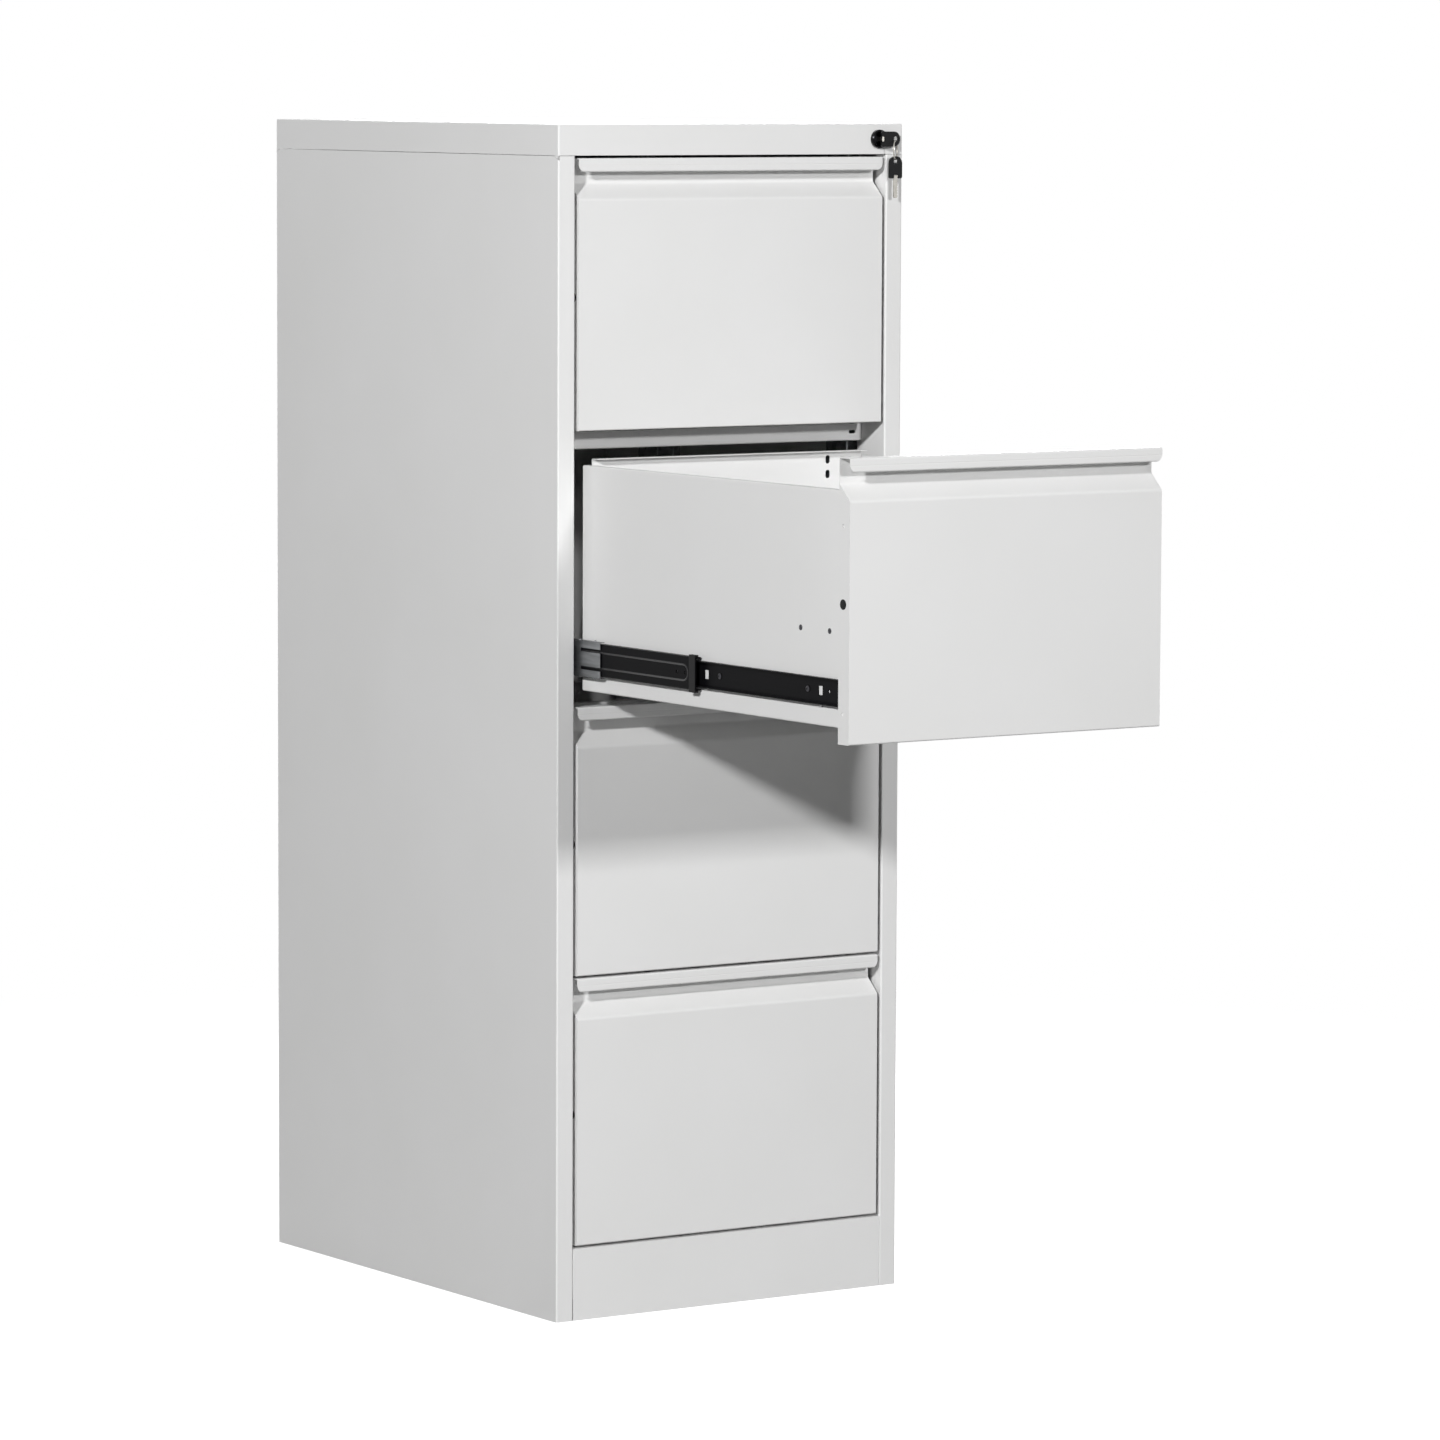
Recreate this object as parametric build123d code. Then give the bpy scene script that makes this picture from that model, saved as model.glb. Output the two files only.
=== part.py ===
from build123d import *
import math
import os

# Four-drawer steel filing cabinet. Millimetres, +Z up.
# Origin: centre of the cabinet's footprint, on the floor. The drawers open along -Y.
# The parts are saved as the photograph shows them: drawer 2 fully open, the others closed.

# Cabinet
cabinet_width = 460.0
cabinet_depth = 620.0
cabinet_height = 1330.0
cap_height = 34.0
plinth_height = 81.0
drawer_count = 4
open_drawer = 2
front_gap = 3.0
sheet = 0.8
bend = 1.0
touch = 0.3
seam_gap = 0.5
seam_run = 9.0
seam_drop = 5.0
stile_width = 22.0
stile_return = 54.0
rear_flange = 20.0
cap_flange = 14.0
cap_flange_gap = 3.0
base_flange = 25.0
plinth_flange = 20.0

# Drawer fronts
front_side_gap = 5.0
grip_depth = 19.0
lip_height = 15.0
lip_return = 6.0
lip_corner = 8.0
grip_back_height = 28.0
grip_height = 45.0
grip_bend = 4.0
flange_hole_radius = 2.0
flange_hole_drops = (71.0, 268.0)
flange_hole_setback = 11.5
bumper_drop = 153.0
bumper_radius = 4.5
bumper_head_radius = 5.5
bumper_proud = 0.8
liner_lip = 12.0
liner_margin = 4.0

# Drawer boxes
box_side_gap = 3.0
box_depth = 535.0
box_floor_rise = 15.0
box_top_drop = 35.0
back_top_rise = 7.0
rim_width = 10.0
rim_drop = 8.0
box_flange = 15.0
back_flange = 12.0
back_slot_width = 6.0
back_slot_height = 9.5
back_slot_x = 135.0
back_slot_drops = (10.0, 26.5)
rivet_drop = 184.0
rivet_setbacks = (52.0, 106.0)
rivet_radius = 2.5
rivet_proud = 1.0

# Ball slides
slide_length = 500.0
slide_travel = 527.0
slide_setback = 30.0
slide_sheet = 1.2
slide_bend = 0.4
slide_rise = 52.5
slide_thickness = 13.0
outer_height = 46.0
middle_height = 36.0
inner_height = 28.5
inner_lead = 5.0
outer_lip = 3.0
outer_reach = 9.5
middle_reach = 7.2
middle_web_gap = 2.6
middle_shortening = 2.0
inner_reach = 7.0
cage_sheet = 0.6
inner_cage_sheet = 0.4
cage_length = 280.0
outer_cage_setback = 87.0
inner_cage_setback = 165.0
cage_tongue_height = 16.0
cage_notch_depth = 40.0
cage_notch_height = 4.0
outer_ball_radius = 1.7
inner_ball_radius = 1.05
ball_count = 9
slide_hole_width = 8.0
slide_hole_height = 10.0
slide_hole_setbacks = (37.0, 254.0)
slide_small_hole_setback = 21.0
slide_small_hole_radius = 1.8
slide_rest_length = 6.0
slide_rest_height = 3.0
slide_screw_setbacks = (60.0, 228.0, 440.0)
screw_head_radius = 3.2
screw_head_height = 1.8
screw_shank_radius = 1.6
screw_hole_radius = 1.7
front_screw_drops = (70.0, 160.0, 250.0)

# Frame inside the cabinet
post_sheet = 1.0
post_width = 40.0
post_foot = 14.0
rear_post_inset = 60.0
rail_setback = 46.0
rail_height = 20.0
rail_flange = 14.0
rail_slot_width = 9.0
rail_slot_height = 4.0
rail_slot_inset = 13.0

# Lock
lock_inset = 33.0
lock_drop = 17.0
lock_body_radius = 9.0
lock_head_radius = 10.5
lock_head_proud = 5.0
lock_head_chamfer = 1.2
lock_body_depth = 34.0
plug_radius = 6.5
plug_running = 0.05
plug_recess = 0.4
lock_nut_radius = 13.0
lock_nut_height = 4.0
cam_thickness = 2.5
cam_radius = 10.0
cam_half_width = 4.0
cam_pin_radius = 2.0
lock_turn = 90.0
bar_thickness = 1.5
bar_inset = 3.0
bar_width = 14.0
bar_head_height = 12.0
bar_head_margin = 3.0
bar_slot_clearance = 0.5
finger_overlap = 2.5
finger_height = 10.0
finger_drop = 194.0
catch_rise = 4.0
catch_height = 10.0
catch_thickness = 3.0
catch_clearance = 1.5
catch_gap = 1.0
guide_drop = 140.0
guide_height = 20.0
guide_grip = 6.0
guide_wall = 1.5

# Keys
key_thickness = 1.9
key_blade_height = 5.0
key_blade_length = 20.0
key_tip_chamfer = 1.2
key_cut_count = 4
key_cut_size = 1.2
key_cut_start = 0.35
key_cut_spacing = 0.15
keyway_clearance = 0.3
key_head_thickness = 3.0
key_head_width = 17.0
key_head_length = 25.0
key_head_corner = 2.0
key_head_overhang = 2.6
key_hole_radius = 3.2
key_hole_reach = 17.0
key_eye_radius = 1.5
key_pin_radius = 0.8
key_pin_running = 0.05
key_pin_length = 12.0
key_fold_gap = 4.5
ring_radius = 11.0
ring_wire_radius = 0.6
ring_play = 1.2
ring_turn = 45.0

half_width = cabinet_width / 2
front_y = -cabinet_depth / 2
rear_y = cabinet_depth / 2
band_bottom = cabinet_height - cap_height
opening_half = half_width - stile_width
front_half = opening_half - front_side_gap
slide_outer_x = opening_half - box_side_gap
box_half_width = slide_outer_x - slide_thickness
gaps_total = front_gap * (drawer_count + 1)
front_height = (band_bottom - plinth_height - gaps_total) / drawer_count
pitch = front_height + front_gap
side_top = band_bottom - seam_gap
wall_inner = half_width - sheet
grip_back_y = front_y + grip_depth
liner_front_y = grip_back_y + sheet
liner_rear_y = liner_front_y + sheet
box_rear_y = front_y + box_depth
slide_front_y = front_y + slide_setback
middle_u = slide_thickness - slide_sheet - middle_web_gap
middle_length = slide_length - middle_shortening
lock_x = half_width - lock_inset
lock_z = cabinet_height - lock_drop
bar_inner_x = opening_half + bar_inset
bar_low_y = front_y + stile_return + catch_gap
bar_high_y = bar_low_y + bar_thickness
guide_rear_y = bar_high_y + touch + guide_wall
cap_flange_front_y = bar_high_y + cap_flange_gap
catch_x = opening_half - catch_clearance
key_fold_y = front_y - lock_head_proud - key_fold_gap
key_hole_x = lock_x + key_hole_reach
ring_z = lock_z - key_hole_radius + ring_wire_radius + ring_play - ring_radius
spare_hole_z = ring_z - ring_radius + ring_wire_radius + ring_play - key_hole_radius
bar_travel = 2 * cam_radius * math.sin(math.radians(lock_turn / 2))


def folded(points, thickness, bends):
    """Cross-section of a folded sheet. The points follow one face and the metal lies to the right.

    bends is the inner radius of every corner, or a list with one for each."""
    near = [Vector(*point) for point in points]
    steps = [(b - a).normalized() for a, b in zip(near, near[1:])]
    sides = [Vector(step.Y, -step.X) for step in steps]
    far = [near[0] + sides[0] * thickness]
    near_radii = [0.0]
    far_radii = [0.0]
    for index in range(1, len(steps)):
        before = sides[index - 1]
        after = sides[index]
        far.append(near[index] + (before + after) * (thickness / (1 + before.dot(after))))
        turns_left = steps[index - 1].cross(steps[index]).Z > 0
        radius = bends[index - 1] if isinstance(bends, list) else bends
        near_radii.append(radius if turns_left else radius + thickness)
        far_radii.append(radius + thickness if turns_left else radius)
    far.append(near[-1] + sides[-1] * thickness)
    outline = near + far[::-1]
    radii = near_radii + [0.0, 0.0] + far_radii[::-1][:-1] + [0.0]
    return make_face(FilletPolyline(*outline, radius=radii, close=True))


def along_x(face, x_low, x_high):
    """Extrude a face drawn as (y, z) from one x to another."""
    return extrude(Plane.YZ.offset(x_low) * face, amount=x_high - x_low, dir=(1, 0, 0))


def along_y(face, y_low, y_high):
    """Extrude a face drawn as (x, z) from one y to another."""
    return extrude(Plane.XZ.offset(-y_high) * face, amount=y_high - y_low, dir=(0, -1, 0))


def along_z(face, z_low, z_high):
    """Extrude a face drawn as (x, y) from one z to another."""
    return extrude(Plane.XY.offset(z_low) * face, amount=z_high - z_low, dir=(0, 0, 1))


def block(x_low, x_high, y_low, y_high, z_low, z_high):
    """Box between two corners."""
    size = (x_high - x_low, y_high - y_low, z_high - z_low)
    centre = ((x_low + x_high) / 2, (y_low + y_high) / 2, (z_low + z_high) / 2)
    return Pos(*centre) * Box(*size)


def rod_x(x_low, x_high, y, z, radius):
    """Cylinder along X."""
    return Pos((x_low + x_high) / 2, y, z) * Rot(0, 90, 0) * Cylinder(radius, x_high - x_low)


def rod_y(x, y_low, y_high, z, radius):
    """Cylinder along Y."""
    return Pos(x, (y_low + y_high) / 2, z) * Rot(90, 0, 0) * Cylinder(radius, y_high - y_low)


def both_sides(shape):
    """A shape and its mirror image in the cabinet's middle plane."""
    return [shape, mirror(shape, about=Plane.YZ)]


def save(name, shapes):
    """Write one node as a STEP file, each piece in it as a solid of its own."""
    solids = []
    for shape in shapes:
        solids.extend(shape.solids())
    node = solids[0] if len(solids) == 1 else Compound(children=solids)
    node.label = name
    export_step(node, "parts/" + name + ".step")


def side_panel():
    """Left side: the wall with its front stile, the stile's return, the rear flange and the top flange."""
    section = folded(
        [
            (-opening_half, front_y + stile_return),
            (-opening_half, front_y),
            (-half_width, front_y),
            (-half_width, rear_y),
            (-half_width + rear_flange, rear_y),
        ],
        sheet,
        bend,
    )
    panel = along_z(section, 0, side_top)
    panel += block(
        -wall_inner,
        -half_width + cap_flange,
        cap_flange_front_y,
        rear_y - rear_flange,
        side_top - sheet,
        side_top,
    )
    for end, inward in ((front_y, 1), (rear_y, -1)):
        ear = Polygon(
            (end - inward, side_top + seam_gap),
            (end + inward * seam_run, side_top + seam_gap),
            (end - inward, side_top - seam_drop * (seam_run + 1) / seam_run),
            align=None,
        )
        panel -= along_x(ear, -half_width - 1, -wall_inner + bend)
    return panel


def top_panel():
    """Cap with four turned-down edges, side flanges that rest on the walls, and the lock's hole."""
    cap = block(-half_width, half_width, front_y, rear_y, band_bottom, cabinet_height)
    cap = fillet(cap.edges().filter_by(Axis.Z), bend + sheet)
    cap = fillet(cap.faces().sort_by(Axis.Z)[-1].edges(), bend)
    cap -= block(
        -wall_inner,
        wall_inner,
        front_y + sheet,
        rear_y - sheet,
        band_bottom - 1,
        cabinet_height - sheet,
    )
    rest = block(
        -wall_inner,
        -half_width + cap_flange,
        cap_flange_front_y,
        rear_y - rear_flange,
        band_bottom,
        band_bottom + sheet,
    )
    band = block(
        -opening_half,
        opening_half,
        front_y + sheet,
        front_y + cap_flange,
        band_bottom,
        band_bottom + sheet,
    )
    cap = cap + both_sides(rest) + band
    drop = seam_drop * (seam_run - seam_gap) / seam_run
    for end, inward in ((front_y, 1), (rear_y, -1)):
        ear = Polygon(
            (end + inward * sheet, band_bottom),
            (end + inward * (seam_run - seam_gap), band_bottom),
            (end + inward * sheet, band_bottom - drop * (1 - sheet / seam_run)),
            align=None,
        )
        cap = cap + both_sides(along_x(ear, -half_width, -wall_inner))
    return cap - rod_y(lock_x, front_y - 1, front_y + 2, lock_z, lock_body_radius + touch)


def back_panel():
    """Flat back, face to face with the side panels' rear flanges."""
    return block(
        -wall_inner + bend + touch,
        wall_inner - bend - touch,
        rear_y - 2 * sheet,
        rear_y - sheet,
        sheet + touch,
        side_top - sheet - touch,
    )


def base_pan():
    """Bottom pan that stands on the floor, with its four edges turned up."""
    low = front_y + sheet
    high = rear_y - 2 * sheet - touch
    side = wall_inner - touch
    pan = block(-side, side, low, high, 0, base_flange)
    inside = block(-side + sheet, side - sheet, low + sheet, high - sheet, sheet, base_flange + 1)
    stile_x = -opening_half + sheet + touch
    notch = block(-side - 1, stile_x, low - 1, low + stile_return, -1, base_flange + 1)
    return pan - inside - both_sides(notch)


def plinth():
    """Kick panel between the stiles, with a top flange and two side flanges."""
    side = opening_half - touch
    panel = block(-side, side, front_y, front_y + sheet, 0, plinth_height)
    panel += block(-side, side, front_y, front_y + plinth_flange, plinth_height - sheet, plinth_height)
    flange = block(-side, -side + sheet, front_y, front_y + plinth_flange, base_flange + touch, plinth_height)
    return panel + both_sides(flange)


def cross_rails():
    """A channel between each drawer and the next, from stile to stile, with a slot near each end."""
    rails = []
    rail_y = front_y + rail_setback
    for number in range(1, drawer_count):
        top = lip_top(number + 1)
        section = folded(
            [
                (rail_y + rail_flange, top - rail_height),
                (rail_y, top - rail_height),
                (rail_y, top),
                (rail_y + rail_flange, top),
            ],
            sheet,
            bend,
        )
        rail = along_x(section, -opening_half + touch, opening_half - touch)
        slot_x = -opening_half + rail_slot_inset
        slot_z = top - rail_height / 2
        slot = block(
            slot_x - rail_slot_width / 2,
            slot_x + rail_slot_width / 2,
            rail_y - 1,
            rail_y + 2,
            slot_z - rail_slot_height / 2,
            slot_z + rail_slot_height / 2,
        )
        slot = fillet(slot.edges().filter_by(Axis.Y), rail_slot_height / 2 - 0.1)
        rails.append(rail - both_sides(slot))
    return rails


def slide_posts():
    """Two upright hat sections on each side wall. They hold the slides' outer members."""
    posts = []
    crown_x = -slide_outer_x - post_sheet
    front_post_y = guide_rear_y + touch + post_foot
    rear_post_y = front_y + slide_setback + slide_length - rear_post_inset
    for low in (front_post_y, rear_post_y):
        high = low + post_width
        section = folded(
            [
                (-wall_inner, low - post_foot),
                (-wall_inner, low),
                (crown_x, low),
                (crown_x, high),
                (-wall_inner, high),
                (-wall_inner, high + post_foot),
            ],
            post_sheet,
            bend,
        )
        posts.extend(both_sides(along_z(section, base_flange + touch, side_top - sheet - touch)))
    return posts


def lip_top(number):
    """Height of a drawer front's top edge."""
    return band_bottom - front_gap - pitch * (number - 1)


def shift(number, share):
    """How far a piece of this drawer stands forward of closed, as a share of the drawer's travel."""
    return -slide_travel * share if number == open_drawer else 0.0


def drawer_front(top):
    """Outer front: face, finger grip with its lip, bottom flange and two side flanges."""
    bottom = top - front_height
    section = folded(
        [
            (grip_back_y + sheet, bottom),
            (front_y, bottom),
            (front_y, top - grip_height),
            (grip_back_y, top - grip_back_height),
            (grip_back_y, top - sheet),
            (front_y + sheet, top - sheet),
            (front_y + sheet, top - lip_height + sheet),
            (front_y + lip_return, top - lip_height + sheet),
        ],
        sheet,
        [bend, grip_bend, grip_bend, bend, bend, bend],
    )
    front = along_x(section, -front_half, front_half)
    cheek_top = top - grip_back_height + grip_bend
    cheek = FilletPolyline(
        (grip_back_y + sheet, bottom),
        (front_y, bottom),
        (front_y, top - grip_height),
        (grip_back_y, top - grip_back_height),
        (grip_back_y, cheek_top),
        (grip_back_y + sheet, cheek_top),
        radius=[0, bend + sheet, grip_bend + sheet, grip_bend, 0, 0],
        close=True,
    )
    flange = along_x(make_face(cheek), -front_half, -front_half + sheet)
    hole_y = front_y + flange_hole_setback
    for drop in flange_hole_drops:
        flange -= rod_x(-front_half - 1, -front_half + 2, hole_y, top - drop, flange_hole_radius)
    flange -= rod_x(-front_half - 1, -front_half + 2, hole_y, top - bumper_drop, bumper_radius)
    front = front + both_sides(flange)
    corner = block(
        -front_half - 1,
        -front_half + lip_corner,
        front_y - 1,
        front_y + lip_return + 1,
        top - lip_height - 1,
        top - lip_height + lip_corner,
    )
    corner -= rod_y(
        -front_half + lip_corner,
        front_y - 2,
        front_y + lip_return + 2,
        top - lip_height + lip_corner,
        lip_corner,
    )
    return front - both_sides(corner)


def drawer_liner(top):
    """Inner front: a plate behind the outer front, with its edges turned forward inside it."""
    side = front_half - sheet - touch
    bottom = top - front_height + sheet + touch
    high = top - grip_height - liner_margin
    low_y = liner_front_y - liner_lip
    pan = block(-side, side, low_y, liner_rear_y, bottom, high)
    pan -= block(-side + sheet, side - sheet, low_y - 1, liner_front_y, bottom + sheet, high - sheet)
    plate = block(-side, side, liner_front_y, liner_rear_y, high, top - liner_margin)
    liner = pan + plate
    for drop in front_screw_drops:
        hole = rod_y(
            -box_half_width + sheet + box_flange / 2,
            liner_front_y - 1,
            liner_rear_y + 1,
            top - drop,
            screw_hole_radius,
        )
        liner = liner - both_sides(hole)
    return liner


def drawer_tray(top):
    """Floor and two sides from one sheet, with rims, front flanges and slide rests, and the lock's catch."""
    floor = top - front_height + box_floor_rise
    rim = top - box_top_drop
    slide_z = top - front_height + slide_rise
    section = folded(
        [
            (-box_half_width + rim_width, rim - rim_drop),
            (-box_half_width + rim_width, rim),
            (-box_half_width, rim),
            (-box_half_width, floor),
            (box_half_width, floor),
            (box_half_width, rim),
            (box_half_width - rim_width, rim),
            (box_half_width - rim_width, rim - rim_drop),
        ][::-1],
        sheet,
        bend,
    )
    tray = along_y(section, liner_rear_y, box_rear_y)
    inner = box_half_width - sheet
    flange = block(
        -inner,
        -inner + box_flange,
        liner_rear_y,
        liner_rear_y + sheet,
        floor + sheet,
        rim - rim_drop - touch,
    )
    tray = tray + both_sides(flange)
    tray += block(-inner, inner, liner_rear_y, liner_rear_y + sheet, floor + sheet / 2, floor + box_flange)
    screw_x = -inner + box_flange / 2
    for drop in front_screw_drops:
        hole = rod_y(screw_x, liner_rear_y - 1, liner_rear_y + 2, top - drop, screw_hole_radius)
        tray = tray - both_sides(hole)
    for setback in slide_screw_setbacks:
        hole = rod_x(-box_half_width - 1, -inner + 1, slide_front_y + setback, slide_z, screw_hole_radius)
        tray = tray - both_sides(hole)
    rest_top = slide_z - inner_height / 2 - touch
    for setback in slide_hole_setbacks:
        rest_y = slide_front_y + setback
        reach = box_half_width + middle_u - middle_reach - touch
        rest = block(
            -reach,
            -box_half_width + sheet / 2,
            rest_y - slide_rest_length / 2,
            rest_y + slide_rest_length / 2,
            rest_top - slide_rest_height + touch,
            rest_top,
        )
        tray = tray + both_sides(rest)
    catch_y = bar_high_y + catch_gap
    catch_low = top - finger_drop + catch_rise
    catch = block(
        box_half_width,
        catch_x,
        catch_y,
        catch_y + catch_thickness,
        catch_low,
        catch_low + catch_height,
    )
    for setback in rivet_setbacks:
        hole = rod_x(-box_half_width - 1, -inner + 1, front_y + setback, top - rivet_drop, screw_hole_radius)
        tray -= hole
    return [tray, catch]


def drawer_back(top):
    """Back of the box: taller than the sides, flanged to them and the floor, with two slots near its right."""
    floor = top - front_height + box_floor_rise
    rim = top - box_top_drop
    high = rim + back_top_rise
    side = box_half_width - sheet - touch
    section = folded(
        [
            (box_rear_y - back_flange, floor + sheet + touch),
            (box_rear_y, floor + sheet + touch),
            (box_rear_y, high),
            (box_rear_y - back_flange, high),
        ][::-1],
        sheet,
        bend,
    )
    back = along_x(section, -side + rim_width + touch, side - rim_width - touch)
    wing = block(
        -side,
        -side + rim_width + 2 * touch,
        box_rear_y - sheet,
        box_rear_y,
        floor + sheet + touch,
        rim - rim_drop - touch,
    )
    wing += block(
        -side,
        -side + sheet,
        box_rear_y - back_flange,
        box_rear_y,
        floor + sheet + touch,
        rim - rim_drop - touch,
    )
    back = back + both_sides(wing)
    for drop in back_slot_drops:
        slot = block(
            back_slot_x - back_slot_width / 2,
            back_slot_x + back_slot_width / 2,
            box_rear_y - 2,
            box_rear_y + 1,
            high - drop - back_slot_height / 2,
            high - drop + back_slot_height / 2,
        )
        back = back - fillet(slot.edges().filter_by(Axis.Y), back_slot_width / 2 - 0.1)
    return back


def slide_inner(top):
    """Inner members: narrow channels screwed to the sides of the box."""
    slide_z = top - front_height + slide_rise
    section = folded(
        [
            (-box_half_width - inner_reach, inner_height / 2),
            (-box_half_width, inner_height / 2),
            (-box_half_width, -inner_height / 2),
            (-box_half_width - inner_reach, -inner_height / 2),
        ],
        slide_sheet,
        slide_bend,
    )
    member = along_y(section, slide_front_y - inner_lead, slide_front_y + slide_length)
    member = Pos(0, 0, slide_z) * member
    for setback in slide_hole_setbacks:
        hole_y = slide_front_y + setback
        member -= block(
            -box_half_width - 2,
            -box_half_width + 1,
            hole_y - slide_hole_width / 2,
            hole_y + slide_hole_width / 2,
            slide_z - slide_hole_height / 2,
            slide_z + slide_hole_height / 2,
        )
    small_y = slide_front_y + slide_small_hole_setback
    member -= rod_x(-box_half_width - 2, -box_half_width + 1, small_y, slide_z, slide_small_hole_radius)
    for setback in slide_screw_setbacks:
        hole_y = slide_front_y + setback
        member -= rod_x(-box_half_width - 2, -box_half_width + 1, hole_y, slide_z, screw_hole_radius)
    return both_sides(member)


def slide_middle(top):
    """Middle members: channels that wrap the inner ones and run inside the outer ones."""
    web = -box_half_width - middle_u
    section = folded(
        [
            (web + middle_reach, middle_height / 2),
            (web, middle_height / 2),
            (web, -middle_height / 2),
            (web + middle_reach, -middle_height / 2),
        ][::-1],
        slide_sheet,
        slide_bend,
    )
    slide_z = top - front_height + slide_rise
    member = Pos(0, 0, slide_z) * along_y(section, slide_front_y, slide_front_y + middle_length)
    for setback in (slide_small_hole_setback, slide_hole_setbacks[0]):
        member -= rod_x(web - 1, web + 2, slide_front_y + setback, slide_z, slide_small_hole_radius)
    return both_sides(member)


def slide_outer(top):
    """Outer members: wide channels fixed to the posts, with their edges turned in over the balls."""
    web = -box_half_width - slide_thickness
    section = folded(
        [
            (web + outer_reach, outer_height / 2 - outer_lip),
            (web + outer_reach, outer_height / 2),
            (web, outer_height / 2),
            (web, -outer_height / 2),
            (web + outer_reach, -outer_height / 2),
            (web + outer_reach, -outer_height / 2 + outer_lip),
        ][::-1],
        slide_sheet,
        slide_bend,
    )
    slide_z = top - front_height + slide_rise
    member = Pos(0, 0, slide_z) * along_y(section, slide_front_y, slide_front_y + slide_length)
    return both_sides(member)


def ball_cage(web, reach, track, thickness, ball_radius, ball_x, front, slide_z):
    """One bent retainer with a row of balls along its top and its bottom strip."""
    section = folded(
        [
            (web + reach, track + thickness / 2),
            (web, track + thickness / 2),
            (web, -track - thickness / 2),
            (web + reach, -track - thickness / 2),
        ][::-1],
        thickness,
        slide_bend,
    )
    cage = Pos(0, 0, slide_z) * along_y(section, front, front + cage_length)
    spacing = cage_length / ball_count
    for index in range(ball_count):
        ball_y = front + spacing * (index + 0.5)
        for side in (-1, 1):
            cage += Pos(ball_x, ball_y, slide_z + side * track) * Sphere(ball_radius)
    return cage


def cages_outer(top):
    """Ball cages between the outer and middle members, notched at the front into three fingers."""
    web_u = (slide_thickness - slide_sheet + middle_u + cage_sheet) / 2
    strip_u = slide_thickness - outer_reach + slide_sheet + touch
    web = -box_half_width - web_u
    track = (outer_height / 2 - slide_sheet + middle_height / 2) / 2
    ball_x = -box_half_width - strip_u - touch - outer_ball_radius
    front = slide_front_y + outer_cage_setback - slide_setback
    slide_z = top - front_height + slide_rise
    cage = ball_cage(web, web_u - strip_u, track, cage_sheet, outer_ball_radius, ball_x, front, slide_z)
    for side in (-1, 1):
        centre = slide_z + side * (cage_tongue_height + cage_notch_height) / 2
        cage -= block(
            web - 1,
            web + 1,
            front - 1,
            front + cage_notch_depth,
            centre - cage_notch_height / 2,
            centre + cage_notch_height / 2,
        )
    return both_sides(cage)


def cages_inner(top):
    """Ball cages between the middle and the inner members."""
    room_low = inner_reach
    room_high = middle_u - slide_sheet
    web = -box_half_width - (room_low + room_high) / 2 - inner_cage_sheet / 2
    track = (middle_height / 2 - slide_sheet + inner_height / 2) / 2
    front = slide_front_y + inner_cage_setback - slide_setback
    ball_x = -box_half_width - inner_reach / 2
    reach = room_high - inner_reach / 2
    slide_z = top - front_height + slide_rise
    cage = ball_cage(web, reach, track, inner_cage_sheet, inner_ball_radius, ball_x, front, slide_z)
    return both_sides(cage)


def drawer_screws(top):
    """Screws of the slides and of the front, and the two rivets on the left side."""
    screws = []
    slide_z = top - front_height + slide_rise
    face = -box_half_width - slide_sheet
    for setback in slide_screw_setbacks:
        screw_y = slide_front_y + setback
        screw = rod_x(face - screw_head_height, face, screw_y, slide_z, screw_head_radius)
        screw += rod_x(face, -box_half_width + 2, screw_y, slide_z, screw_shank_radius)
        screws.extend(both_sides(screw))
    flange_y = liner_rear_y + sheet
    for drop in front_screw_drops:
        screw_x = -box_half_width + sheet + box_flange / 2
        screw = rod_y(screw_x, flange_y, flange_y + screw_head_height, top - drop, screw_head_radius)
        screw += rod_y(screw_x, liner_front_y - 2, flange_y, top - drop, screw_shank_radius)
        screws.extend(both_sides(screw))
    for setback in rivet_setbacks:
        rivet_y = front_y + setback
        rivet = rod_x(-box_half_width - rivet_proud, -box_half_width, rivet_y, top - rivet_drop, rivet_radius)
        rivet += rod_x(-box_half_width, -box_half_width + 1.5, rivet_y, top - rivet_drop, screw_shank_radius)
        screws.append(rivet)
    return screws


def drawer_bumpers(top):
    """Rubber buttons pressed into the front's side flanges."""
    button_y = front_y + flange_hole_setback
    button_z = top - bumper_drop
    face = -front_half
    button = rod_x(face - bumper_proud, face, button_y, button_z, bumper_head_radius)
    button += rod_x(face, face + sheet + touch / 2, button_y, button_z, bumper_radius - 0.05)
    return both_sides(button)


def lock_barrel():
    """Lock body through the cap's front band, with its head outside and its nut inside."""
    rear = front_y + lock_body_depth
    barrel = rod_y(lock_x, front_y, rear, lock_z, lock_body_radius)
    head = rod_y(lock_x, front_y - lock_head_proud, front_y, lock_z, lock_head_radius)
    head = chamfer(head.edges().filter_by(GeomType.CIRCLE).sort_by(Axis.Y)[0], lock_head_chamfer)
    nut_low = front_y + sheet
    nut = rod_y(lock_x, nut_low, nut_low + lock_nut_height, lock_z, lock_nut_radius)
    barrel = barrel + head + nut
    return barrel - rod_y(
        lock_x, front_y - lock_head_proud - 1, rear + 1, lock_z, plug_radius + plug_running
    )


def lock_plug():
    """Turning core of the lock, with the keyway in it."""
    low = front_y - lock_head_proud + plug_recess
    high = front_y + lock_body_depth + touch
    plug = rod_y(lock_x, low, high, lock_z, plug_radius)
    half_slot = key_thickness / 2 + keyway_clearance
    return plug - block(
        lock_x - half_slot,
        lock_x + half_slot,
        low - 1,
        low + key_blade_length,
        lock_z - key_blade_height / 2 - keyway_clearance,
        lock_z + key_blade_height / 2 + keyway_clearance,
    )


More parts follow.
